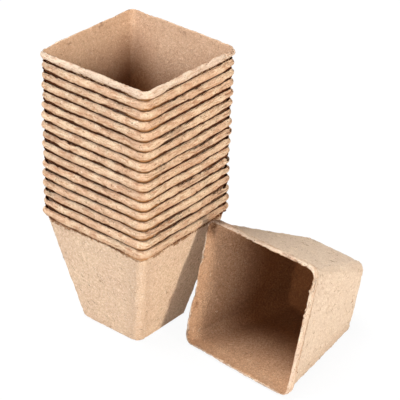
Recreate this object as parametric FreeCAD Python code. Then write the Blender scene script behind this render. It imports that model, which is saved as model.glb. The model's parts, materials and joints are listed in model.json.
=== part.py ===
import FreeCAD, Part
import math
import os

# Square seedling pots of pressed fibre: a stack of them, each inside the one below,
# and one more pot lying on its side in front of the stack.
# Millimetres, +Z up. The origin is the middle of the lowest pot's underside, on the
# surface that the set stands on, and the stacked pots' sides run along X and Y.

# One pot
rim_width = 80.0          # across the rim band, outside
base_width = 45.0         # across the underside, out to where the walls would meet it
pot_height = 76.0
band_height = 5.85        # the thick band round the rim, which the pot above rests on
band_depth = 1.1          # how far the band stands out from the wall
band_corner = 6.0         # corner radius of the band, outside
wall_corner = 5.0         # corner radius of the walls, outside
floor_thickness = 1.6
edge_round = 1.0          # rounding of the band's edges and of the edge round the underside

# How the pots sit in each other
stacked_pots = 17
seat_gap = 0.25           # between a band and the rim under it
wall_gap = 0.3            # between a wall and the wall round it

# How the loose pot lies
loose_gap = 1.3           # the least space between its band and the stack's bands
loose_shift = 36.4        # its middle is this far along X from the stack's middle
loose_turn = 3.0          # degrees that it is turned about Z, out of line with the stack

# Cutting shapes run this far past the faces that they open
overrun = 5.0

# Worked out from the sizes above
stack_step = band_height + seat_gap
wall_top_width = rim_width - 2 * band_depth
wall_slope = (wall_top_width - base_width) / 2 / pot_height
wall_taper = math.atan(wall_slope)
wall = stack_step * math.sin(wall_taper) - wall_gap
wall_across = wall / math.cos(wall_taper)


def wall_width(height):
    """Outside width of the walls at a height above the underside."""
    return base_width + 2 * wall_slope * height


def edges_between(shape, low, high):
    """The edges of a shape that run from one height to another, or lie level at one."""
    near = edge_round / 10
    found = []
    for edge in shape.Edges:
        box = edge.BoundBox
        if abs(box.ZMin - low) < near and abs(box.ZMax - high) < near:
            found.append(edge)
    return found


def square_block(low_width, low, high_width, high, corner):
    """A block with four sides and round corners, level at both ends."""
    low_half = low_width / 2
    high_half = high_width / 2
    block = Part.makeWedge(
        -low_half, low, -low_half, -high_half, -high_half,
        low_half, high, low_half, high_half, high_half,
    )
    block.rotate(FreeCAD.Vector(0, 0, 0), FreeCAD.Vector(1, 0, 0), 90)
    return block.makeFillet(corner, edges_between(block, low, high))


def walls_outside():
    """The four walls and the floor as one block that ends inside the band, rounded round the underside."""
    top = pot_height - band_height / 2
    block = square_block(base_width, 0, wall_width(top), top, wall_corner)
    return block.makeFillet(edge_round, edges_between(block, 0, 0))


def rim_band():
    """The thick band round the rim, with its outer edges rounded."""
    low = pot_height - band_height
    block = square_block(rim_width, low, rim_width, pot_height, band_corner)
    edges = edges_between(block, low, low) + edges_between(block, pot_height, pot_height)
    return block.makeFillet(edge_round, edges)


def inside():
    """The hollow of the pot, rounded where the walls meet the floor."""
    top = pot_height + overrun
    low_width = wall_width(floor_thickness) - 2 * wall_across
    high_width = wall_width(top) - 2 * wall_across
    hollow = square_block(low_width, floor_thickness, high_width, top, wall_corner - wall)
    return hollow.makeFillet(edge_round, edges_between(hollow, floor_thickness, floor_thickness))


def make_pot():
    """One moulded pot, upright, with the middle of its underside at the origin."""
    outside = walls_outside().fuse(rim_band()).removeSplitter()
    return outside.cut(inside())


def lean_of_lying_pot():
    """How far a pot's middle line slopes up when it lies on its side, and how high its low end is.

    It lies on the edge of its underside and on the lower edge of its band. Both are
    rounded alike, so the surface runs beside the line through the middles of the two
    roundings, at their radius from it.
    """
    underside_edge = base_width / 2 - edge_round * math.tan(math.pi / 4 - wall_taper / 2)
    band_edge = rim_width / 2 - edge_round
    lean = math.atan2(band_edge - underside_edge, pot_height - band_height)
    rise = edge_round + underside_edge * math.cos(lean) - edge_round * math.sin(lean)
    return lean, rise


def lay_down(pot):
    """Lays an upright pot on its side in front of the stack, with its mouth towards -X."""
    lean, rise = lean_of_lying_pot()
    half_length = pot_height / 2 * math.cos(lean)
    mouth_reach = half_length + (rim_width / 2 - band_corner) * math.sin(lean)
    turn = math.radians(loose_turn)
    half_width = rim_width / 2 * math.cos(turn) + mouth_reach * math.sin(turn)
    middle = FreeCAD.Vector(loose_shift, -(rim_width / 2 + loose_gap + half_width), 0)
    start = FreeCAD.Vector(0, 0, 0)
    pot.rotate(start, FreeCAD.Vector(0, 1, 0), 90 - math.degrees(lean))
    pot.translate(FreeCAD.Vector(-half_length, 0, rise))
    pot.rotate(start, FreeCAD.Vector(0, 0, 1), 180 - loose_turn)
    pot.translate(middle)


def main():
    os.makedirs("parts", exist_ok=True)
    pot = make_pot()
    for place in range(stacked_pots):
        stacked = pot.copy()
        stacked.translate(FreeCAD.Vector(0, 0, place * stack_step))
        stacked.exportStep(f"parts/pot_{place + 1:02d}.step")
    loose = pot.copy()
    lay_down(loose)
    loose.exportStep("parts/loose_pot.step")


main()
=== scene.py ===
# Square seedling pots of pressed fibre: a nested stack, and one pot lying on its side in front.
# Metres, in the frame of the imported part.
import json
import math

import bpy
from mathutils import Matrix, Vector

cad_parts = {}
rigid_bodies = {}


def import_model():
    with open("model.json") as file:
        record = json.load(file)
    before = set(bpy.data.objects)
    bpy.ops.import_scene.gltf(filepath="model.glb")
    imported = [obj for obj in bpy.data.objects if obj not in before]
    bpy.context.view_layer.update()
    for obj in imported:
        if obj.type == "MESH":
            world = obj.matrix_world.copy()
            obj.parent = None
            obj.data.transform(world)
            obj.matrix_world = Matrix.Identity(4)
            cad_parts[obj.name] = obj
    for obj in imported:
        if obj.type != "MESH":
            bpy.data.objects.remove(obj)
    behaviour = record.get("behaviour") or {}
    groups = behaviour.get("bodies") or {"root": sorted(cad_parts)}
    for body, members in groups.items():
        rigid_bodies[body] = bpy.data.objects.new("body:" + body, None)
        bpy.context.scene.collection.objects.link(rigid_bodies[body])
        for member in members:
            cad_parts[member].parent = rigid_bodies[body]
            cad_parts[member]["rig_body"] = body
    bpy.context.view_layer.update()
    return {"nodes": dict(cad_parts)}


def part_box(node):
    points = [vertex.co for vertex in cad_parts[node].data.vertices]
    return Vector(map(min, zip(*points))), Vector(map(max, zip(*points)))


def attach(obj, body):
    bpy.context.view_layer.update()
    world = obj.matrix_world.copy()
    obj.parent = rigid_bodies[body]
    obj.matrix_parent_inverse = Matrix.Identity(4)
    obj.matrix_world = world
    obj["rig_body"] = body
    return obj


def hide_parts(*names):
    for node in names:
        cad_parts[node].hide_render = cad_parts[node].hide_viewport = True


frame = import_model()

MM = 0.001

# One pot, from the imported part
STACK = sorted(node for node in frame["nodes"] if node != "loose_pot")
LOWEST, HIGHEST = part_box(STACK[0])
RIM_WIDTH = HIGHEST.x - LOWEST.x
POT_HEIGHT = HIGHEST.z - LOWEST.z
STACK_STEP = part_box(STACK[1])[0].z - LOWEST.z

# One pot, sizes that its box doesn't show
BASE_WIDTH = 45.0 * MM
BAND_HEIGHT = 5.85 * MM
BAND_DEPTH = 1.1 * MM
BAND_CORNER = 6.0 * MM
WALL_CORNER = 5.0 * MM
WALL_GAP = 0.3 * MM
FLOOR_THICKNESS = 1.6 * MM
EDGE_ROUND = 1.0 * MM

# One pot, worked out from its sizes. WALL_ACROSS is a wall's thickness, measured level
SEAM_HEIGHT = POT_HEIGHT - BAND_HEIGHT
WALL_TAPER = math.atan((RIM_WIDTH / 2 - BAND_DEPTH - BASE_WIDTH / 2) / POT_HEIGHT)
WALL_ACROSS = (STACK_STEP * math.sin(WALL_TAPER) - WALL_GAP) / math.cos(WALL_TAPER)

# How the loose pot lies
LOOSE_GAP = 1.3 * MM
LOOSE_SHIFT = 36.4 * MM
LOOSE_TURN = math.radians(3.0)

# The section's roundings, two of them as shares of the edge rounding, and the points on each
FOOT_ROUND_SHARE = 1.3
WELL_ROUND_SHARE = 3.5
ROUND_STEPS = 4

# The shell's corners. Shares are of the half width there, and so is the path's corner
PATH_CORNER = 0.2
PATH_CORNER_STEPS = 16
LEAST_CORNER_SHARE = 0.2
LEAST_CORNER = 3.0 * MM
MOST_CORNER_SHARE = 0.9
MERGE_DISTANCE = 0.001 * MM

# How unlike the pots are. Each reads its noise this far from the pot before it, in one
# direction for its shape and in another for its skin
SEED_STEP = 0.37
SHAPE_SHIFT = (1.0, 0.0, 0.0)
SKIN_SHIFT = (0.0, 1.0, 0.0)
WARP_RISE_POWER = 1.5     # how much faster the warp grows than the height

# How torn the bands are. The seams in the stack open by turns
SEAM_OPENINGS = (0.12 * MM, 0.22 * MM, 0.5 * MM)
SEAM_SIDE = 0.45          # wider on the -Y side, and narrower on the +Y side
SEAM_CORNER = 1.3         # wider at the side corners
SEAM_FRONT = 0.7          # narrower at the front and back corners
CORNER_BULGE = 1.8        # how much more the band is rounded at the side corners
SLIP_ROOM_SHARE = 0.85    # the most that the band sinks, of its width outside the mouth

# Loose fibres and crumbs, with their least and greatest size as shares of their shape
HAIR_LENGTH = 2.6 * MM
HAIR_RADIUS = 0.08 * MM
HAIR_POINTS = 5
HAIR_SIDES = 3
HAIR_BEND = 2.0 * MM      # how far aside it would be, its own length from its middle
HAIR_DIP = 0.1            # how far it dips as it bends, as a share of the bend
HAIR_SIZES = ((0.5, 0.6, 1.0), (1.5, 1.2, 1.0))
INSIDE_HAIR_SHARE = 0.4
CRUMB_RADIUS = 0.5 * MM
CRUMB_SIZES = ((0.4, 0.4, 0.3), (1.5, 1.0, 0.7))
CRUMB_SEED_SHIFT = 7.0

# The camera, fitted to the outlines in the photograph
PHOTO_PIXELS = 400
FOCAL_PIXELS = 1735.9
SENSOR_MM = 36.0
CAMERA_AZIMUTH = math.radians(-51.76)
CAMERA_ELEVATION = math.radians(30.29)
CAMERA_ROLL = math.radians(2.03)
CAMERA_DISTANCE = 1.0
CAMERA_TARGET = Vector((30.55 * MM, -22.14 * MM, 72.60 * MM))

# Light and floor
WHITE = (1.0, 1.0, 1.0, 1.0)
LAMP_TARGET = Vector((0.03, -0.04, 0.08))
WORLD_STRENGTH = 0.13
FLOOR_COLOUR = (0.9, 0.9, 0.9, 1.0)
FLOOR_REACH = 6.0
FLOOR_LEVEL = -0.05 * MM
FLOOR_GLOW_SHARE = 0.93


class Reading:
    """One output of a node, which can be used in sums."""

    def __init__(self, sheet, socket):
        self.sheet = sheet
        self.socket = socket

    def __add__(self, other):
        return self.sheet.sum("ADD", self, other)

    def __radd__(self, other):
        return self.sheet.sum("ADD", other, self)

    def __sub__(self, other):
        return self.sheet.sum("SUBTRACT", self, other)

    def __rsub__(self, other):
        return self.sheet.sum("SUBTRACT", other, self)

    def __mul__(self, other):
        return self.sheet.sum("MULTIPLY", self, other)

    def __rmul__(self, other):
        return self.sheet.sum("MULTIPLY", other, self)

    def __truediv__(self, other):
        return self.sheet.sum("DIVIDE", self, other)

    def __neg__(self):
        return self.sheet.sum("MULTIPLY", self, -1.0)


def is_vector(value):
    """True for a reading of a vector or a colour, and for a plain vector."""
    if isinstance(value, Reading):
        return value.socket.type in {"VECTOR", "RGBA"}
    return isinstance(value, (tuple, Vector))


class Sheet:
    """A node tree, with short ways to add nodes and to join them."""

    def __init__(self, tree):
        self.tree = tree

    def plug(self, socket, value):
        """Joins a reading to a socket, or sets the socket to a plain value."""
        if isinstance(value, Reading):
            self.tree.links.new(value.socket, socket)
        else:
            socket.default_value = value

    def node(self, kind, inputs=None, **settings):
        """Adds a node. inputs maps a socket's name or number to a value or a reading."""
        made = self.tree.nodes.new(kind)
        for name, value in settings.items():
            setattr(made, name, value)
        for name, value in (inputs or {}).items():
            self.plug(made.inputs[name], value)
        return made

    def read(self, kind, inputs=None, output=0, **settings):
        """Adds a node and gives one of its outputs."""
        return Reading(self, self.node(kind, inputs, **settings).outputs[output])

    def sum(self, operation, *values):
        """A sum of numbers or of vectors, whichever the values are."""
        vectors = [is_vector(value) for value in values]
        if not any(vectors):
            return self.read("ShaderNodeMath", dict(enumerate(values)), operation=operation)
        if operation == "MULTIPLY" and not all(vectors):
            vector, number = values if vectors[0] else reversed(values)
            return self.read("ShaderNodeVectorMath", {0: vector, "Scale": number}, operation="SCALE")
        return self.read("ShaderNodeVectorMath", dict(enumerate(values)), operation=operation)

    def least(self, one, other):
        return self.sum("MINIMUM", one, other)

    def most(self, one, other):
        return self.sum("MAXIMUM", one, other)

    def size_of(self, number):
        """A number without its sign."""
        return self.sum("ABSOLUTE", number)

    def vector(self, x, y, z):
        return self.read("ShaderNodeCombineXYZ", {"X": x, "Y": y, "Z": z})

    def parts(self, vector):
        """The X, Y and Z of a vector."""
        split = self.node("ShaderNodeSeparateXYZ", {"Vector": vector})
        return [Reading(self, split.outputs[axis]) for axis in "XYZ"]

    def ramp(self, value, low, high, start=0.0, end=1.0):
        """A smooth change from start to end while a value goes from low to high."""
        inputs = {"Value": value, "From Min": low, "From Max": high, "To Min": start, "To Max": end}
        return self.read("ShaderNodeMapRange", inputs, interpolation_type="SMOOTHSTEP")

    def within(self, value, low, high, blur):
        """1 while a value lies between two limits, fading out over the blur beyond them."""
        return self.ramp(value, low - blur, low) * self.ramp(value, high, high + blur, 1.0, 0.0)

    def noise(self, place, lump, detail=2.0, roughness=0.5, distortion=0.0):
        """Soft noise about 0.5, with lumps of about this size in metres."""
        inputs = {"Vector": place, "Scale": 1 / lump, "Detail": detail, "Roughness": roughness}
        return self.read("ShaderNodeTexNoise", {**inputs, "Distortion": distortion})

    def patches(self, place, lump, low, high, start=0.0, end=1.0, detail=2.0, roughness=0.5):
        """Patches in noise: start where it is under low, and end where it is over high."""
        return self.ramp(self.noise(place, lump, detail, roughness), low, high, start, end)


class GeometrySheet(Sheet):
    """A tree of geometry nodes, with its named inputs."""

    def __init__(self, name, inputs):
        tree = bpy.data.node_groups.new(name, "GeometryNodeTree")
        tree.is_modifier = True
        super().__init__(tree)
        for label, (kind, value) in inputs.items():
            socket = tree.interface.new_socket(label, in_out="INPUT", socket_type="NodeSocket" + kind)
            if value is not None:
                socket.default_value = value
        tree.interface.new_socket("Geometry", in_out="OUTPUT", socket_type="NodeSocketGeometry")
        self.inputs = tree.nodes.new("NodeGroupInput")
        self.output = tree.nodes.new("NodeGroupOutput")

    def given(self, label):
        """One of the tree's named inputs."""
        return Reading(self, self.inputs.outputs[label])

    def choose(self, index, values):
        """One of several values, by its place in the list."""
        kind = "VECTOR" if is_vector(values[0]) else "FLOAT"
        switch = self.node("GeometryNodeIndexSwitch", {"Index": index}, data_type=kind)
        for _ in values[2:]:
            switch.index_switch_items.new()
        for place, value in enumerate(values):
            self.plug(switch.inputs[place + 1], value)
        return Reading(self, switch.outputs[0])

    def keep(self, shape, name, value):
        """Writes a value on every point of a shape, under a name."""
        kind = "FLOAT_VECTOR" if is_vector(value) else "FLOAT"
        inputs = {"Geometry": shape, "Name": name, "Value": value}
        return self.read("GeometryNodeStoreNamedAttribute", inputs, data_type=kind)

    def kept(self, name, kind="FLOAT"):
        """A value that was written on the points under a name."""
        return self.read("GeometryNodeInputNamedAttribute", {"Name": name}, data_type=kind)

    def at_next_point(self, value, index, kind="FLOAT"):
        """What a value is at the point after this one."""
        inputs = {"Value": value, "Index": index + 1.0}
        return self.read("GeometryNodeFieldAtIndex", inputs, data_type=kind)

    def shift(self, shape, offset):
        return self.read("GeometryNodeSetPosition", {"Geometry": shape, "Offset": offset})

    def random(self, low, high, seed):
        """A different value between two limits on each point."""
        if is_vector(low):
            inputs = {0: low, 1: high, "Seed": seed}
            return self.read("FunctionNodeRandomValue", inputs, 0, data_type="FLOAT_VECTOR")
        inputs = {2: low, 3: high, "Seed": seed}
        return self.read("FunctionNodeRandomValue", inputs, 1, data_type="FLOAT")

    def made_of(self, shape, material):
        """A shape in one of the materials that the tree is given."""
        inputs = {"Geometry": shape, "Material": self.given(material)}
        return self.read("GeometryNodeSetMaterial", inputs)

    def join(self, shapes):
        joined = self.tree.nodes.new("GeometryNodeJoinGeometry")
        for shape in shapes:
            self.tree.links.new(shape.socket, joined.inputs[0])
        return Reading(self, joined.outputs[0])


# The stations of a pot's section, in order, as the kept value "station" counts them
UNDERSIDE, FOOT, SEAM, BAND_LOW, BAND_TOP, MOUTH, WELL, BOTTOM = range(8)

# What the pots' tree is given. The lowest pot has these settings, but for its seam's opening
POT_INPUTS = {
    "Rim Width": ("Float", RIM_WIDTH),
    "Base Width": ("Float", BASE_WIDTH),
    "Pot Height": ("Float", POT_HEIGHT),
    "Band Height": ("Float", BAND_HEIGHT),
    "Band Depth": ("Float", BAND_DEPTH),
    "Wall Corner": ("Float", WALL_CORNER),
    "Inner Corner": ("Float", 0.0),             # added to the corner radius inside
    "Wall Across": ("Float", WALL_ACROSS),
    "Floor Thickness": ("Float", FLOOR_THICKNESS),
    "Edge Round": ("Float", EDGE_ROUND),
    "Band Round": ("Float", 0.5 * MM),
    "Rim Round": ("Float", 1.3 * MM),
    "Seam Round": ("Float", 0.3 * MM),
    "Mouth Round": ("Float", 0.5 * MM),
    "Rim Drop": ("Float", 0.9 * MM),            # how far the mouth lies under the rim's top
    "Place": ("Vector", (0.0, 0.0, 0.0)),       # where the warp is read that neighbours share
    "Steps Around": ("Int", 400),
    "Fine Step": ("Float", 0.45 * MM),
    "Coarse Step": ("Float", 1.6 * MM),
    "Warp": ("Float", 0.9 * MM),                # how far the walls sink in, at the most
    "Wave": ("Float", 0.7 * MM),                # how far the rim sags, at the most
    "Seam Opening": ("Float", 0.24 * MM),
    "Bulge": ("Float", 0.45 * MM),              # how far the band is rounded off
    "Slip": ("Float", 0.8 * MM),                # how far the band sinks, at the most
    "Roughness": ("Float", 0.2 * MM),
    "Hairs": ("Float", 30000.0),                # for each square metre
    "Crumbs": ("Float", 900000.0),              # for each square metre
    "Chip Depth": ("Float", 0.9 * MM),
    # Painted shade on covered rims, and along and under the band's lower edge; the second also lifts
    # that edge
    "Rim Shade": ("Float", 1.0),
    "Stacked Edge": ("Float", 1.0),
    # Painted shade inside: darker down in the pot, in its corners and just inside the mouth, and a
    # painted shadow on one corner of the mouth
    "Dark Below": ("Float", 0.3),               # shares of the height, for the inside
    "Light Above": ("Float", 0.86),
    "Corner Shade": ("Float", 0.13),
    "Mouth Shade": ("Float", 0.0),
    "Dark Corner": ("Float", 0.0),
    "Inner Grain": ("Float", 0.0),
    "Outer Paleness": ("Float", 0.0),
    "Inner Paleness": ("Float", 0.0),
    "Seed": ("Int", 0),
    "Fibre": ("Material", None),
    "Hair": ("Material", None),
    "Crumb": ("Material", None),
}

# What is different about a pot of which only the band shows
HIDDEN_POT = {
    "Steps Around": 300,
    "Coarse Step": 7 * MM,
    "Hairs": 6000.0,
    "Crumbs": 0.0,
}

# What is different about the top pot
TOP_POT = {
    "Inner Corner": -1 * MM,
    "Seam Opening": 0.4 * MM,
    "Chip Depth": 0.5 * MM,
    "Rim Shade": 0.0,
    "Outer Paleness": 0.5,
    "Inner Paleness": 0.2,
}

# What is different about the loose pot, which has a softer band and a torn mouth, with painted shade
# just inside the mouth and a painted shadow on one corner of it
LOOSE_POT = {
    "Place": (1.0, 0.0, 0.0),
    "Seed": len(STACK),
    "Inner Corner": 3 * MM,
    "Band Round": 1.6 * MM,
    "Rim Round": 1.1 * MM,
    "Seam Round": 2.0 * MM,
    "Mouth Round": 1.0 * MM,
    "Seam Opening": 0.8 * MM,
    "Bulge": 0.1 * MM,
    "Roughness": 0.25 * MM,
    "Crumbs": 150000.0,
    "Chip Depth": 0.7 * MM,
    "Rim Shade": 0.0,
    "Stacked Edge": 0.0,
    "Light Above": 0.92,
    "Corner Shade": 0.05,
    "Mouth Shade": 0.25,
    "Dark Corner": 1.0,
    "Inner Grain": 0.5,
    "Outer Paleness": 0.5,
}


def section_points(sheet):
    """The corners of half a pot's section, one for each station.

    X is the distance from the middle line and Y the height. They run out under the pot,
    up the wall, round the band and down the inside.
    """
    height = sheet.given("Pot Height")
    rim_half = sheet.given("Rim Width") / 2.0
    base_half = sheet.given("Base Width") / 2.0
    slope = wall_slope(sheet)
    across = sheet.given("Wall Across")
    floor = sheet.given("Floor Thickness")
    seam = height - sheet.given("Band Height")
    mouth = height - sheet.given("Rim Drop")
    return [
        sheet.vector(0.0, 0.0, 0.0),
        sheet.vector(base_half, 0.0, 0.0),
        sheet.vector(base_half + slope * seam, seam, 0.0),
        sheet.vector(rim_half, seam, 0.0),
        sheet.vector(rim_half, height, 0.0),
        sheet.vector(base_half + slope * mouth - across, mouth, 0.0),
        sheet.vector(base_half + slope * floor - across, floor, 0.0),
        sheet.vector(0.0, floor, 0.0),
    ]


def section_roundings(sheet):
    """How far the section's corners are rounded, one for each station."""
    edge = sheet.given("Edge Round")
    foot = edge * FOOT_ROUND_SHARE
    seam = sheet.given("Seam Round")
    band = sheet.given("Band Round")
    rim = sheet.given("Rim Round")
    mouth = sheet.given("Mouth Round")
    well = edge * WELL_ROUND_SHARE
    return [0.0, foot, seam, band, rim, mouth, well, 0.0]


def wall_slope(sheet):
    """How far a wall leans out for each unit of height."""
    rim_half = sheet.given("Rim Width") / 2.0
    base_half = sheet.given("Base Width") / 2.0
    return (rim_half - sheet.given("Band Depth") - base_half) / sheet.given("Pot Height")


def pot_section(sheet):
    """Half of a pot's section as a curve, which keeps its stations, distances and heights."""
    points = section_points(sheet)
    index = sheet.read("GeometryNodeInputIndex")
    line = sheet.read("GeometryNodeMeshLine", {"Count": len(points)})
    line = sheet.keep(line, "station", index)
    line = sheet.keep(line, "round", sheet.choose(index, section_roundings(sheet)))
    inputs = {"Geometry": line, "Position": sheet.choose(index, points)}
    line = sheet.read("GeometryNodeSetPosition", inputs)
    curve = sheet.read("GeometryNodeMeshToCurve", {"Mesh": line})
    inputs = {"Curve": curve, "Count": ROUND_STEPS, "Radius": sheet.kept("round"), "Limit Radius": True}
    curve = sheet.read("GeometryNodeFilletCurve", inputs, mode="POLY")
    curve = divided(sheet, curve)
    half, height, _ = sheet.parts(sheet.read("GeometryNodeInputPosition"))
    curve = sheet.keep(curve, "half", half)
    return sheet.keep(curve, "height", height)


def divided(sheet, curve):
    """Cuts a curve's long runs into steps, short ones at the band and longer ones elsewhere."""
    index = sheet.read("GeometryNodeInputIndex")
    position = sheet.read("GeometryNodeInputPosition")
    following = sheet.at_next_point(position, index, "FLOAT_VECTOR")
    inputs = {0: position, 1: following}
    run = sheet.read("ShaderNodeVectorMath", inputs, "Value", operation="DISTANCE")
    station = sheet.kept("station")
    middle = (station + sheet.at_next_point(station, index)) / 2.0
    near_band = sheet.ramp(middle, FOOT + 0.9, SEAM) * sheet.ramp(middle, MOUTH, MOUTH + 0.1, 1.0, 0.0)
    coarse = sheet.given("Coarse Step")
    step = coarse + (sheet.given("Fine Step") - coarse) * near_band
    cuts = sheet.sum("FLOOR", run / step)
    return sheet.read("GeometryNodeSubdivideCurve", {"Curve": curve, "Cuts": cuts})


def rim_path(sheet):
    """A round-cornered square about the middle line, which the section goes round.

    Each point keeps "core", its place on the square that the corner arcs' middles lie on,
    and "out", the level direction that the wall faces there.
    """
    straight = 1.0 - PATH_CORNER
    square = sheet.read("GeometryNodeCurvePrimitiveQuadrilateral", {"Width": 2.0, "Height": 2.0})
    inputs = {"Curve": square, "Count": PATH_CORNER_STEPS, "Radius": PATH_CORNER, "Limit Radius": True}
    path = sheet.read("GeometryNodeFilletCurve", inputs, mode="POLY")
    inputs = {"Curve": path, "Count": sheet.given("Steps Around")}
    path = sheet.read("GeometryNodeResampleCurve", inputs, mode="COUNT")
    position = sheet.read("GeometryNodeInputPosition")
    low = sheet.most(position, (-straight, -straight, 0.0))
    core = sheet.least(low, (straight, straight, 0.0))
    path = sheet.keep(path, "out", sheet.sum("NORMALIZE", position - core))
    return sheet.keep(path, "core", core * (1.0 / straight))


def corner_radius(sheet):
    """The shell's corner radius: the wall's, and more or less of it on the band and inside."""
    half = sheet.kept("half")
    wall_half = sheet.given("Base Width") / 2.0 + wall_slope(sheet) * sheet.kept("height")
    least = sheet.least(half * LEAST_CORNER_SHARE, LEAST_CORNER)
    corner = sheet.most(sheet.given("Wall Corner") + (half - wall_half), least)
    inside = sheet.ramp(sheet.kept("station"), MOUTH - 0.01, MOUTH + 0.5)
    corner = corner + sheet.given("Inner Corner") * inside
    return sheet.most(sheet.least(corner, half * MOST_CORNER_SHARE), 0.0)


def moulded_shell(sheet):
    """The plain form of a pot: its section taken round the square."""
    inputs = {"Curve": rim_path(sheet), "Profile Curve": pot_section(sheet)}
    shell = sheet.read("GeometryNodeCurveToMesh", inputs)
    corner = corner_radius(sheet)
    core = sheet.kept("core", "FLOAT_VECTOR")
    out = sheet.kept("out", "FLOAT_VECTOR")
    level = core * (sheet.kept("half") - corner) + out * corner
    place = level + sheet.vector(0.0, 0.0, sheet.kept("height"))
    shell = sheet.read("GeometryNodeSetPosition", {"Geometry": shell, "Position": place})
    inputs = {"Geometry": shell, "Distance": MERGE_DISTANCE}
    shell = sheet.read("GeometryNodeMergeByDistance", inputs)
    return sheet.read("GeometryNodeFlipFaces", {"Mesh": shell})


def own_place(sheet, direction):
    """Each point's place, moved by the pot's seed, so that every pot's noise is its own."""
    position = sheet.read("GeometryNodeInputPosition")
    return position + sheet.given("Seed") * SEED_STEP * direction


def corner_sign(sheet):
    """1 at the corners towards the camera and away from it, -1 at the two others, 0 mid-wall."""
    core_x, core_y, _ = sheet.parts(sheet.kept("core", "FLOAT_VECTOR"))
    return core_x * core_y


def uneven_moulding(sheet, shell):
    """Lets the pot sag and warp as a whole, alike for pots that sit in each other."""
    share = sheet.kept("height") / sheet.given("Pot Height")
    rise = sheet.sum("POWER", share, WARP_RISE_POWER)
    position = sheet.read("GeometryNodeInputPosition")
    here = position + sheet.given("Place")
    warp = sheet.noise(here, lump=45 * MM, detail=1.0) * rise * sheet.given("Warp")
    upright = position * (1.0, 1.0, 0.1)
    wave = sheet.noise(upright, lump=26 * MM, detail=1.0) * rise * sheet.given("Wave")
    out = sheet.kept("out", "FLOAT_VECTOR")
    return sheet.shift(shell, -(out * warp) - sheet.vector(0.0, 0.0, wave))


def seam_opening(sheet):
    """How far the seam between two bands opens: unevenly, least at the front and back corners."""
    own = own_place(sheet, SHAPE_SHIFT)
    corner = corner_sign(sheet)
    at_side_corner = sheet.ramp(-corner, 0.7, 1.0)
    at_front = sheet.ramp(corner, 0.7, 1.0)
    _, out_y, _ = sheet.parts(sheet.kept("out", "FLOAT_VECTOR"))
    side = 1.0 - SEAM_SIDE * out_y + SEAM_CORNER * at_side_corner - SEAM_FRONT * at_front
    level = own * (1.0, 1.0, 0.0)
    mould = sheet.patches(level, lump=15 * MM, low=0.35, high=0.65, end=1.8)
    patchy = sheet.patches(own, 1.8 * MM, 0.3, 0.7, start=0.3, end=1.4, detail=3.0, roughness=0.6)
    chips = sheet.patches(own, lump=4.0 * MM, low=0.64, high=0.74) * sheet.given("Chip Depth")
    return sheet.given("Seam Opening") * side * mould * patchy + chips


def open_seam(sheet, shell):
    """Lifts the band's lower edge and lowers its upper one by the seam's opening."""
    station = sheet.kept("station")
    low_edge = sheet.within(station, SEAM, BAND_LOW, 0.3) * sheet.ramp(station, SEAM - 0.01, SEAM)
    high_edge = sheet.within(station, BAND_TOP, MOUTH, 0.3)
    high_edge = high_edge * sheet.ramp(station, MOUTH, MOUTH + 0.03, 1.0, 0.0)
    lifted = low_edge * sheet.given("Stacked Edge") - high_edge
    return sheet.shift(shell, sheet.vector(0.0, 0.0, seam_opening(sheet) * lifted))


def sunken_band(sheet, shell):
    """Sinks the band unevenly and rounds it, but never as far as the mouth."""
    station = sheet.kept("station")
    own = own_place(sheet, SHAPE_SHIFT)
    slip = sheet.patches(own, lump=30 * MM, low=0.35, high=0.65, detail=1.0) * sheet.given("Slip")
    off_middle = sheet.size_of(station - (BAND_LOW + BAND_TOP) / 2) * 2.0
    at_side_corner = sheet.ramp(-corner_sign(sheet), 0.7, 1.0)
    bulge = off_middle * off_middle * sheet.given("Bulge") * (1.0 + CORNER_BULGE * at_side_corner)
    on_band = sheet.within(station, BAND_LOW, BAND_TOP, 0.5)
    wall_half = sheet.given("Rim Width") / 2.0 - sheet.given("Band Depth")
    mouth_half = wall_half - sheet.given("Wall Across")
    room = sheet.most(sheet.kept("half") - mouth_half, 0.0) * SLIP_ROOM_SHARE
    sunk = sheet.least((slip + bulge) * on_band, room)
    return sheet.shift(shell, -(sheet.kept("out", "FLOAT_VECTOR") * sunk))


def rough_skin(sheet, shell):
    """Sinks the skin unevenly: most on the band, wrinkled near the corners, and least inside."""
    station = sheet.kept("station")
    own = own_place(sheet, SKIN_SHIFT)
    on_band = sheet.within(station, SEAM + 0.4, MOUTH - 0.2, 0.2)
    inside = sheet.ramp(station, MOUTH - 0.1, MOUTH + 0.02)
    lumps = sheet.patches(own, 3.2 * MM, 0.3, 0.75, detail=3.0, roughness=0.6)
    flat = own * (0.5, 0.5, 2.4)
    streaks = sheet.patches(flat, 2.4 * MM, 0.3, 0.75, roughness=0.6)
    near_corner = sheet.ramp(sheet.size_of(corner_sign(sheet)), 0.5, 0.95)
    on_corner_wall = near_corner * (1.0 - inside) * (1.0 - on_band)
    upright = own * (1.0, 1.0, 0.4)
    wrinkles = sheet.patches(upright, 2.4 * MM, 0.35, 0.65, detail=3.0, roughness=0.6)
    wrinkles = wrinkles * on_corner_wall
    sunk = lumps * (1.0 - inside * 0.7) + streaks * on_band * 1.3 + wrinkles * 1.6
    normal = sheet.read("GeometryNodeInputNormal")
    return sheet.shift(shell, -(normal * (sunk * sheet.given("Roughness"))))


def keep_tones(sheet, shell):
    """Keeps how pale and how coarse the fibre is, and where the seams get painted shade, for its
    material to read.

    "at_front" is 1 at the front corner, and at the back one too.
    """
    inside = sheet.ramp(sheet.kept("station"), MOUTH - 0.5, MOUTH)
    outer = sheet.given("Outer Paleness") * (1.0 - inside)
    shell = sheet.keep(shell, "paleness", outer + sheet.given("Inner Paleness") * inside)
    shell = sheet.keep(shell, "inner_grain", sheet.given("Inner Grain") * inside)
    shell = sheet.keep(shell, "rim_shade", sheet.given("Rim Shade"))
    shell = sheet.keep(shell, "stacked_edge", sheet.given("Stacked Edge"))
    return sheet.keep(shell, "at_front", sheet.ramp(corner_sign(sheet), 0.6, 1.0))


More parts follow.
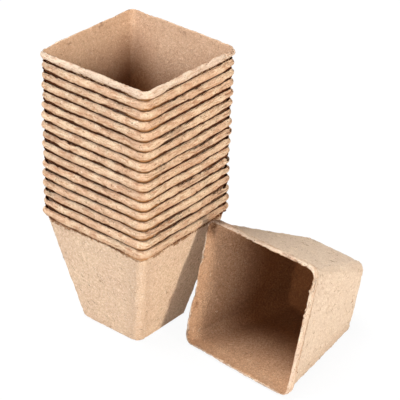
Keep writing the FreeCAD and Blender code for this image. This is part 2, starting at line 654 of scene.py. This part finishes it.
def keep_inner_shade(sheet, shell):
    """Keeps the inside's painted shade: darker down in the pot, in its corners and round its mouth."""
    share = sheet.kept("height") / sheet.given("Pot Height")
    in_corner = sheet.ramp(sheet.size_of(corner_sign(sheet)), 0.3, 1.0)
    shaded = in_corner * sheet.ramp(share, 0.8, 1.0, 1.0, 0.0) * sheet.given("Corner Shade")
    light = sheet.ramp(share - shaded, sheet.given("Dark Below"), sheet.given("Light Above"))
    light = light - sheet.ramp(share, 0.88, 0.99) * sheet.given("Mouth Shade")
    return sheet.keep(shell, "light", light)


def keep_corner_shadow(sheet, shell):
    """Keeps where one upper corner of the mouth gets a painted shadow."""
    core_x, core_y, _ = sheet.parts(sheet.kept("core", "FLOAT_VECTOR"))
    share = sheet.kept("height") / sheet.given("Pot Height")
    corner = sheet.ramp(-(core_x + core_y), 1.75, 2.0) * sheet.given("Dark Corner")
    return sheet.keep(shell, "corner_shadow", corner * sheet.ramp(share, 0.90, 0.94))


def pot_shell(sheet):
    """A pot without its loose fibres and crumbs, in the pressed fibre."""
    shell = moulded_shell(sheet)
    shell = sheet.keep(shell, "own_place", own_place(sheet, SHAPE_SHIFT))
    shell = uneven_moulding(sheet, shell)
    shell = open_seam(sheet, shell)
    shell = sunken_band(sheet, shell)
    shell = rough_skin(sheet, shell)
    shell = keep_tones(sheet, shell)
    shell = keep_inner_shade(sheet, shell)
    shell = keep_corner_shadow(sheet, shell)
    shell = sheet.read("GeometryNodeSetShadeSmooth", {"Geometry": shell})
    return sheet.made_of(shell, "Fibre")


def scattered(sheet, shell, shape, density, seed, sizes):
    """Copies of a small shape on a shell, turned at random about its normal."""
    inputs = {"Mesh": shell, "Density": density, "Seed": seed}
    spread = sheet.node("GeometryNodeDistributePointsOnFaces", inputs)
    facing = Reading(sheet, spread.outputs["Rotation"])
    inputs = {"Axis": (0.0, 0.0, 1.0), "Angle": sheet.random(0.0, 2 * math.pi, seed)}
    spin = sheet.read("FunctionNodeAxisAngleToRotation", inputs)
    inputs = {"Rotation": facing, "Rotate By": spin}
    facing = sheet.read("FunctionNodeRotateRotation", inputs, rotation_space="LOCAL")
    least, greatest = sizes
    inputs = {
        "Points": Reading(sheet, spread.outputs["Points"]),
        "Instance": shape,
        "Rotation": facing,
        "Scale": sheet.random(least, greatest, seed),
    }
    copies = sheet.read("GeometryNodeInstanceOnPoints", inputs)
    return sheet.read("GeometryNodeRealizeInstances", {"Geometry": copies})


def hair_shape(sheet):
    """One loose fibre: a short bent thread with a few sides and closed ends."""
    start = (-HAIR_LENGTH / 2, 0.0, 0.0)
    step = (HAIR_LENGTH / (HAIR_POINTS - 1), 0.0, 0.0)
    inputs = {"Count": HAIR_POINTS, "Start Location": start, "Offset": step}
    line = sheet.read("GeometryNodeMeshLine", inputs)
    along, _, _ = sheet.parts(sheet.read("GeometryNodeInputPosition"))
    bend = along * along * (HAIR_BEND / HAIR_LENGTH ** 2)
    line = sheet.shift(line, sheet.vector(0.0, bend, HAIR_RADIUS - bend * HAIR_DIP))
    curve = sheet.read("GeometryNodeMeshToCurve", {"Mesh": line})
    inputs = {"Resolution": HAIR_SIDES, "Radius": HAIR_RADIUS}
    ring = sheet.read("GeometryNodeCurvePrimitiveCircle", inputs)
    inputs = {"Curve": curve, "Profile Curve": ring, "Fill Caps": True}
    return sheet.read("GeometryNodeCurveToMesh", inputs)


def loose_hairs(sheet, shell):
    """Loose fibres on the walls and along the middle of the band, and fewer inside."""
    station = sheet.kept("station")
    on_wall = sheet.within(station, FOOT + 0.05, SEAM - 0.05, 0.01)
    on_band = sheet.within(station, BAND_LOW + 0.4, BAND_TOP - 0.4, 0.05)
    on_inside = sheet.within(station, MOUTH + 0.05, MOUTH + 0.25, 0.01)
    where = sheet.most(on_wall, sheet.most(on_band, on_inside * INSIDE_HAIR_SHARE))
    density = sheet.given("Hairs") * where
    hair = hair_shape(sheet)
    hairs = scattered(sheet, shell, hair, density, sheet.given("Seed"), HAIR_SIZES)
    return sheet.made_of(hairs, "Hair")


def loose_crumbs(sheet, shell):
    """Crumbs of torn fibre, in patches under the band."""
    edge = sheet.within(sheet.kept("station"), SEAM - 0.02, BAND_LOW - 0.3, 0.01)
    position = sheet.read("GeometryNodeInputPosition")
    patches = sheet.patches(position, lump=10 * MM, low=0.42, high=0.58)
    density = sheet.given("Crumbs") * (edge * patches)
    inputs = {"Radius": CRUMB_RADIUS, "Subdivisions": 1}
    crumb = sheet.read("GeometryNodeMeshIcoSphere", inputs)
    seed = sheet.given("Seed") + CRUMB_SEED_SHIFT
    crumbs = scattered(sheet, shell, crumb, density, seed, CRUMB_SIZES)
    return sheet.made_of(crumbs, "Crumb")


def pot_tree():
    """The whole pot as one tree of nodes: shell, hairs and crumbs."""
    sheet = GeometrySheet("pressed_fibre_pot", POT_INPUTS)
    shell = pot_shell(sheet)
    joined = sheet.join([shell, loose_hairs(sheet, shell), loose_crumbs(sheet, shell)])
    sheet.tree.links.new(joined.socket, sheet.output.inputs["Geometry"])
    return sheet.tree


def evaluated_mesh(name, tree, values):
    """Runs a tree with these inputs on an empty object, and gives its result as a plain mesh."""
    holder = bpy.data.objects.new(name + "_maker", bpy.data.meshes.new(name + "_maker"))
    bpy.context.scene.collection.objects.link(holder)
    modifier = holder.modifiers.new("pot", "NODES")
    modifier.node_group = tree
    inputs = [item for item in tree.interface.items_tree if item.in_out == "INPUT"]
    identifiers = {item.name: item.identifier for item in inputs}
    for label, value in values.items():
        modifier[identifiers[label]] = value
    depsgraph = bpy.context.evaluated_depsgraph_get()
    mesh = bpy.data.meshes.new_from_object(holder.evaluated_get(depsgraph), depsgraph=depsgraph)
    mesh.name = name
    bpy.data.objects.remove(holder)
    return mesh


def shade(red, green, blue):
    """A colour given as it shows on a screen, from 0 to 255, as the light it reflects."""
    shares = []
    for value in (red, green, blue):
        share = value / 255
        shares.append(share / 12.92 if share <= 0.04045 else ((share + 0.055) / 1.055) ** 2.4)
    return (*shares, 1.0)


# The fibre's plain colours, the paler of each two first
WALL_COLOURS = (shade(242, 214, 184), shade(236, 206, 178))
BAND_COLOURS = (shade(240, 210, 176), shade(222, 180, 147))
INNER_COLOURS = (shade(234, 192, 156), shade(224, 180, 144))
FADED = shade(220, 206, 190)

# The fibre's marks, and the colours of its painted shade and painted shadow
RAGGED_EDGE = shade(128, 86, 54)
# Painted shade on the walls' front and back corners
FRONT_CORNER_SHADE = shade(204, 176, 150)
STREAK = shade(184, 130, 96)
MOTTLE = shade(176, 134, 98)
DARK_GRAIN = shade(124, 84, 54)
CHAFF = shade(248, 230, 206)
DARK_THREAD = shade(150, 104, 70)
SPOT = shade(96, 58, 34)
# Painted shade on the band's lower part and in its seams, paler at the front and back corners, and a
# painted shadow on one corner of the mouth
LOW_BAND_SHADE = shade(176, 124, 82)
SEAM_SHADE = shade(80, 32, 6)
FRONT_SEAM_SHADE = shade(178, 124, 76)
CORNER_SHADOW = shade(92, 58, 36)

# Painted shade: what is left of the inside's red, green and blue down in the pot
DEEP_SHARE = (0.28, 0.165, 0.092, 1.0)

# Loose fibres and crumbs, the darker first
HAIR_COLOURS = (shade(112, 74, 44), shade(242, 218, 188))
CRUMB_COLOURS = (shade(120, 80, 48), shade(204, 164, 122))


class MaterialSheet(Sheet):
    """A surface's tree of shader nodes."""

    def __init__(self, name):
        self.material = bpy.data.materials.new(name)
        self.material.use_nodes = True
        super().__init__(self.material.node_tree)
        self.shader = self.tree.nodes["Principled BSDF"]

    def object_place(self):
        """Each point's place in the object."""
        return self.read("ShaderNodeTexCoord", output="Object")

    def value_of(self, name, output="Fac"):
        """A value that the mesh keeps under a name."""
        return self.read("ShaderNodeAttribute", output=output, attribute_name=name)

    def blend(self, one, other, amount, mode="MIX"):
        """Two colours, mixed by an amount from 0 to 1."""
        inputs = {0: amount, 6: one, 7: other}
        mixed = self.node("ShaderNodeMix", inputs, data_type="RGBA", blend_type=mode)
        return Reading(self, mixed.outputs[2])

    def bump(self, height, strength, distance):
        """Gives the surface a fine relief."""
        inputs = {"Height": height, "Strength": strength, "Distance": distance}
        relief = self.read("ShaderNodeBump", inputs, "Normal")
        self.plug(self.shader.inputs["Normal"], relief)

    def finish(self, colour, roughness):
        """Gives the surface its colour and roughness, and returns the material."""
        self.plug(self.shader.inputs["Base Color"], colour)
        self.plug(self.shader.inputs["Roughness"], roughness)
        return self.material


class FibreSheet(MaterialSheet):
    """The pressed fibre's nodes, with the readings that several of its marks share."""

    def __init__(self):
        super().__init__("pressed_fibre")
        self.place = self.value_of("own_place", "Vector")
        self.station = self.value_of("station")
        self.height = self.value_of("height")
        self.paleness = self.value_of("paleness")
        self.inner_grain = self.value_of("inner_grain")
        self.stacked_edge = self.value_of("stacked_edge")
        self.at_front = self.value_of("at_front")
        self.coarse = 1.0 - self.paleness * 0.6
        self.inside = self.ramp(self.station, MOUTH - 0.4, MOUTH + 0.02)
        self.outside = 1.0 - self.inside
        self.band = self.within(self.station, SEAM + 0.05, MOUTH - 0.2, 0.05)
        self.mottle = self.patches(self.place, 1.5 * MM, 0.32, 0.68, detail=4.0, roughness=0.7)
        self.grain = self.patches(self.place, 0.6 * MM, 0.25, 0.75, roughness=0.6)
        self.pale_threads = self.threads(lump=5.0 * MM, width=0.012, shift=3.1)
        self.dark_threads = self.threads(lump=7.0 * MM, width=0.010, shift=8.3)
        self.spots = self.specks_and_pits()

    def threads(self, lump, width, shift):
        """Thin curved lines, as of fibres pressed into the surface: 1 on a line, 0 off it."""
        moved = self.place + (shift, 0.0, 0.0)
        field = self.noise(moved, lump, detail=1.0, distortion=0.6)
        line = self.ramp(self.size_of(field - 0.5), 0.0, width, 1.0, 0.0)
        return line * self.patches(moved, lump * 0.8, 0.48, 0.6)

    def specks_and_pits(self):
        """Small dark specks everywhere, and pits on the band."""
        specks = self.patches(self.place, 1.3 * MM, 0.80, 0.86, detail=1.0)
        moved = self.place + (5.0, 0.0, 0.0)
        pits = self.patches(moved, 0.9 * MM, 0.68, 0.74, detail=1.0) * self.band
        return self.most(specks, pits)

    def plain_colour(self):
        """Pale on the walls, warmer on the band and browner inside."""
        cloud = self.patches(self.place, 16 * MM, 0.3, 0.7, detail=3.0, roughness=0.55)
        colour = self.blend(*WALL_COLOURS, cloud)
        band_cloud = self.patches(self.place, lump=9 * MM, low=0.4, high=0.6)
        colour = self.blend(colour, self.blend(*BAND_COLOURS, band_cloud), self.band * 0.75)
        colour = self.blend(colour, self.blend(*INNER_COLOURS, cloud), self.inside)
        return self.blend(colour, FADED, self.paleness)

    def ragged_edge(self, colour):
        """The brown edge of uneven depth that shows on the wall under the band."""
        depth = self.noise(self.place, 1.6 * MM, detail=3.0, roughness=0.6) * (6.0 * MM)
        depth = depth + self.noise(self.place, lump=8 * MM) * (9.0 * MM) - 4.3 * MM
        edge = self.ramp(self.height - SEAM_HEIGHT + depth, -0.3 * MM, 0.3 * MM)
        edge = edge * self.ramp(self.station, BAND_LOW - 0.1, BAND_LOW, 1.0, 0.0)
        return self.blend(colour, RAGGED_EDGE, edge * self.stacked_edge * 0.9)

    def shaded_front_corner(self, colour):
        """Painted shade: the walls' front and back corners, a little greyer."""
        where = self.at_front * (1.0 - self.band) * self.outside
        return self.blend(colour, FRONT_CORNER_SHADE, where * self.mottle * 0.6)

    def grains(self, colour):
        """Streaks on the band, darker mottling and grain, and pale bits of chaff."""
        flat = self.place * (0.4, 0.4, 2.4)
        streaks = self.patches(flat, 2.4 * MM, 0.5, 0.64, detail=3.0, roughness=0.6)
        mottled = 0.46 - self.band * 0.16 + self.inner_grain * 0.4
        grained = 0.36 - self.band * 0.06 + self.inside * 0.08 + self.inner_grain * 0.3
        moved = self.place + (2.0, 0.0, 0.0)
        chaff = self.patches(moved, lump=1.1 * MM, low=0.58, high=0.72)
        colour = self.blend(colour, STREAK, streaks * self.band * self.coarse * 0.7)
        colour = self.blend(colour, MOTTLE, (1.0 - self.mottle) * self.coarse * mottled)
        colour = self.blend(colour, DARK_GRAIN, (1.0 - self.grain) * self.coarse * grained)
        return self.blend(colour, CHAFF, chaff * (0.4 - self.inside * 0.2 - self.band * 0.25))

    def small_marks(self, colour):
        """Pale threads outside, dark threads and dark spots."""
        colour = self.blend(colour, CHAFF, self.pale_threads * self.outside * 0.6)
        colour = self.blend(colour, DARK_THREAD, self.dark_threads * 0.5)
        return self.blend(colour, SPOT, self.spots * 0.8)

    def low_edge(self):
        """How much painted shade the band's lower edge gets, in patches."""
        edge = self.within(self.station, SEAM + 0.03, BAND_LOW, 0.02)
        low, high = SEAM_HEIGHT + 0.1 * MM, SEAM_HEIGHT + 0.8 * MM
        edge = edge * self.ramp(self.height, low, high, 1.0, 0.0)
        in_patches = self.patches(self.place, lump=6.0 * MM, low=0.38, high=0.62, start=0.3)
        return edge * (in_patches * self.stacked_edge)

    def rim_and_underside(self):
        """How much painted shade the top of the rim and the band's underside get."""
        patch = self.noise(self.place, lump=5.0 * MM, detail=3.0, roughness=0.6)
        patch = patch + self.value_of("rim_shade") * 0.7
        rim = self.within(self.station, BAND_TOP + 0.4, MOUTH, 0.1) * self.ramp(patch, 0.60, 0.80)
        under = self.within(self.station, SEAM - 0.02, BAND_LOW - 0.2, 0.02) * self.stacked_edge
        return self.most(rim, under)

    def painted_seam_shade(self, colour):
        """Painted shade: the band browner low down, and dark along its edges, paler at front and back.
        """
        # Painted shade: the band browner low down
        low, high = SEAM_HEIGHT + 0.4 * MM, SEAM_HEIGHT + 3.2 * MM
        low_band = self.ramp(self.height, low, high, 1.0, 0.0) * self.band
        low_shade = low_band * (1.0 - self.mottle * 0.6) * self.coarse * 0.55
        colour = self.blend(colour, LOW_BAND_SHADE, low_shade)
        # Painted shade along the band's edges and in the seams
        seam_colour = self.blend(SEAM_SHADE, FRONT_SEAM_SHADE, self.at_front)
        colour = self.blend(colour, seam_colour, self.low_edge() * 0.9)
        return self.blend(colour, seam_colour, self.rim_and_underside() * 0.8)

    def painted_inner_shade(self, colour):
        """A painted shadow on one upper corner of the mouth, and painted shade darkening the inside
        further down.
        """
        # Painted shadow on one upper corner of the mouth
        patchy = self.value_of("corner_shadow") * (1.0 - self.mottle * 0.5)
        colour = self.blend(colour, CORNER_SHADOW, patchy)
        # Painted shade, darker further down inside
        left = self.blend(DEEP_SHARE, WHITE, self.value_of("light"))
        return self.blend(colour, left, self.inside, "MULTIPLY")

    def relief(self):
        """Mottling, grains and threads stand up a little, and spots are sunk."""
        grains = self.mottle * (0.8 - self.inside * 0.35) + self.grain * 0.4
        threads = grains + self.pale_threads * 0.5 + self.dark_threads * 0.4
        return threads - self.spots * 0.8


def pressed_fibre():
    """Pressed wood fibre: pale and speckled outside, browner inside, with painted shade deep inside and
    on the band's seams.
    """
    sheet = FibreSheet()
    colour = sheet.plain_colour()
    colour = sheet.ragged_edge(colour)
    colour = sheet.shaded_front_corner(colour)
    colour = sheet.grains(colour)
    colour = sheet.small_marks(colour)
    colour = sheet.painted_seam_shade(colour)
    colour = sheet.painted_inner_shade(colour)
    sheet.bump(sheet.relief(), strength=1.0, distance=0.35 * MM)
    sheet.plug(sheet.shader.inputs["Specular IOR Level"], 0.08)
    return sheet.finish(colour, 0.82 + sheet.mottle * 0.14)


def loose_hair():
    """Single fibres that stand a little off the surface."""
    sheet = MaterialSheet("loose_hair")
    tone = sheet.patches(sheet.object_place(), lump=4 * MM, low=0.35, high=0.65)
    return sheet.finish(sheet.blend(*HAIR_COLOURS, tone), 0.75 + tone * 0.15)


def torn_crumb():
    """Torn bits of fibre at the band's edge."""
    sheet = MaterialSheet("torn_crumb")
    tone = sheet.patches(sheet.object_place(), 1.5 * MM, 0.3, 0.7, detail=3.0)
    sheet.bump(tone, strength=0.5, distance=0.2 * MM)
    return sheet.finish(sheet.blend(*CRUMB_COLOURS, tone), 0.85 + tone * 0.1)


def lying_place():
    """Where the loose pot lies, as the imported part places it.

    It rests on the edge of its underside and on the lower edge of its band, with its
    mouth towards -X.
    """
    rim_half = RIM_WIDTH / 2
    underside_edge = BASE_WIDTH / 2 - EDGE_ROUND * math.tan(math.pi / 4 - WALL_TAPER / 2)
    band_edge = rim_half - EDGE_ROUND
    lean = math.atan2(band_edge - underside_edge, SEAM_HEIGHT)
    rise = EDGE_ROUND + underside_edge * math.cos(lean) - EDGE_ROUND * math.sin(lean)
    half_length = POT_HEIGHT / 2 * math.cos(lean)
    mouth_reach = half_length + (rim_half - BAND_CORNER) * math.sin(lean)
    half_width = rim_half * math.cos(LOOSE_TURN) + mouth_reach * math.sin(LOOSE_TURN)
    middle = Vector((LOOSE_SHIFT, -(rim_half + LOOSE_GAP + half_width), 0))
    laid = Matrix.Rotation(math.pi / 2 - lean, 4, "Y")
    lifted = Matrix.Translation((-half_length, 0, rise))
    turned = Matrix.Rotation(math.pi - LOOSE_TURN, 4, "Z")
    return Matrix.Translation(middle) @ turned @ lifted @ laid


def set_down(mesh, node):
    """Shows a mesh in the place of a CAD node, on that node's body."""
    piece = bpy.data.objects.new(mesh.name, mesh)
    bpy.context.scene.collection.objects.link(piece)
    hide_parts(node)
    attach(piece, frame["nodes"][node]["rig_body"])


def stacked_settings(number, node):
    """What a pot of the stack is given, by its place and by how much of it shows."""
    settings = {"Place": Vector((0, 0, number * STACK_STEP)), "Seed": number}
    settings["Seam Opening"] = SEAM_OPENINGS[number % len(SEAM_OPENINGS)]
    if node == STACK[-1]:
        settings.update(TOP_POT)
    elif node != STACK[0]:
        settings.update(HIDDEN_POT)
    return settings


def make_pots():
    """The pots of the stack and the loose one, all by one tree."""
    tree = pot_tree()
    finishes = {"Fibre": pressed_fibre(), "Hair": loose_hair(), "Crumb": torn_crumb()}
    for number, node in enumerate(STACK):
        settings = stacked_settings(number, node)
        mesh = evaluated_mesh(node + "_fibre", tree, {**finishes, **settings})
        mesh.transform(Matrix.Translation(settings["Place"]))
        set_down(mesh, node)
    mesh = evaluated_mesh("loose_pot_fibre", tree, {**finishes, **LOOSE_POT})
    mesh.transform(lying_place())
    set_down(mesh, "loose_pot")


def make_camera():
    """The camera at the photograph's viewing angle."""
    azimuth = CAMERA_AZIMUTH
    level = math.cos(CAMERA_ELEVATION)
    right = Vector((math.cos(azimuth), math.sin(azimuth), 0))
    back = Vector((math.sin(azimuth) * level, -math.cos(azimuth) * level, math.sin(CAMERA_ELEVATION)))
    up = back.cross(right)
    rolled_right = math.cos(CAMERA_ROLL) * right + math.sin(CAMERA_ROLL) * up
    rolled_up = math.cos(CAMERA_ROLL) * up - math.sin(CAMERA_ROLL) * right
    lens = bpy.data.cameras.new("camera")
    lens.sensor_width = SENSOR_MM
    lens.lens = FOCAL_PIXELS / PHOTO_PIXELS * SENSOR_MM
    camera = bpy.data.objects.new("camera", lens)
    turned = Matrix((rolled_right, rolled_up, back)).transposed().to_4x4()
    camera.matrix_world = Matrix.Translation(CAMERA_TARGET + back * CAMERA_DISTANCE) @ turned
    bpy.context.scene.collection.objects.link(camera)
    bpy.context.scene.camera = camera


def make_lamp(name, direction, distance, size, watts, colour):
    """A soft lamp that shines on the object from a direction. Its size is its width and height."""
    lamp = bpy.data.lights.new(name, "AREA")
    lamp.shape = "RECTANGLE"
    lamp.size, lamp.size_y = size
    lamp.energy = watts
    lamp.color = colour
    holder = bpy.data.objects.new(name, lamp)
    towards = Vector(direction).normalized()
    turned = towards.to_track_quat("Z", "Y").to_matrix().to_4x4()
    holder.matrix_world = Matrix.Translation(LAMP_TARGET + towards * distance) @ turned
    bpy.context.scene.collection.objects.link(holder)


def make_lamps():
    """A narrow warm lamp in front, a cool soft one at the left and a large one above."""
    make_lamp(
        "key_lamp", direction=(-0.08, -0.96, 0.27), distance=4.8,
        size=(0.48, 2.4), watts=190.0, colour=(1.0, 0.95, 0.87),
    )
    make_lamp(
        "side_lamp", direction=(-0.86, -0.22, 0.42), distance=4.8,
        size=(2.0, 2.0), watts=138.0, colour=(0.90, 0.94, 1.0),
    )
    make_lamp(
        "top_lamp", direction=(-0.17, 0.27, 0.95), distance=6.0,
        size=(3.6, 3.6), watts=436.0, colour=(0.97, 0.99, 1.0),
    )


def seen_directly(sheet):
    """1 for what the camera, a reflection or a clear part sees."""
    path = sheet.node("ShaderNodeLightPath")
    names = ("Is Camera Ray", "Is Glossy Ray", "Is Transmission Ray")
    camera, glossy, clear = [Reading(sheet, path.outputs[name]) for name in names]
    return sheet.most(sheet.most(camera, glossy), clear)


def floor_finish():
    """A matt pale floor that glows white for the camera, under a faint shadow."""
    material = bpy.data.materials.new("floor")
    material.use_nodes = True
    sheet = Sheet(material.node_tree)
    lit = sheet.tree.nodes["Principled BSDF"]
    sheet.plug(lit.inputs["Base Color"], FLOOR_COLOUR)
    sheet.plug(lit.inputs["Roughness"], 1.0)
    sheet.plug(lit.inputs["Specular IOR Level"], 0.0)
    glow = sheet.node("ShaderNodeEmission", {"Color": WHITE, "Strength": 1.0})
    share = seen_directly(sheet) * FLOOR_GLOW_SHARE
    mixed = sheet.node("ShaderNodeMixShader", {"Fac": share})
    sheet.tree.links.new(lit.outputs[0], mixed.inputs[1])
    sheet.tree.links.new(glow.outputs[0], mixed.inputs[2])
    surface = sheet.tree.nodes["Material Output"].inputs["Surface"]
    sheet.tree.links.new(mixed.outputs[0], surface)
    return material


def make_floor():
    """A plain floor, a hair under the pots."""
    mesh = bpy.data.meshes.new("floor")
    signs = ((-1, -1), (1, -1), (1, 1), (-1, 1))
    corners = [(x * FLOOR_REACH, y * FLOOR_REACH, FLOOR_LEVEL) for x, y in signs]
    mesh.from_pydata(corners, [], [(0, 1, 2, 3)])
    mesh.materials.append(floor_finish())
    floor = bpy.data.objects.new("floor", mesh)
    bpy.context.scene.collection.objects.link(floor)


def make_world():
    """Even soft light from all round, and white where nothing stands."""
    world = bpy.data.worlds.new("studio")
    world.use_nodes = True
    sheet = Sheet(world.node_tree)
    background = sheet.tree.nodes["Background"]
    sheet.plug(background.inputs["Color"], WHITE)
    strength = WORLD_STRENGTH + seen_directly(sheet) * (1.0 - WORLD_STRENGTH)
    sheet.plug(background.inputs["Strength"], strength)
    bpy.context.scene.world = world


def main():
    bpy.context.scene.view_settings.view_transform = "Standard"
    make_camera()
    make_floor()
    make_world()
    make_lamps()
    make_pots()


main()
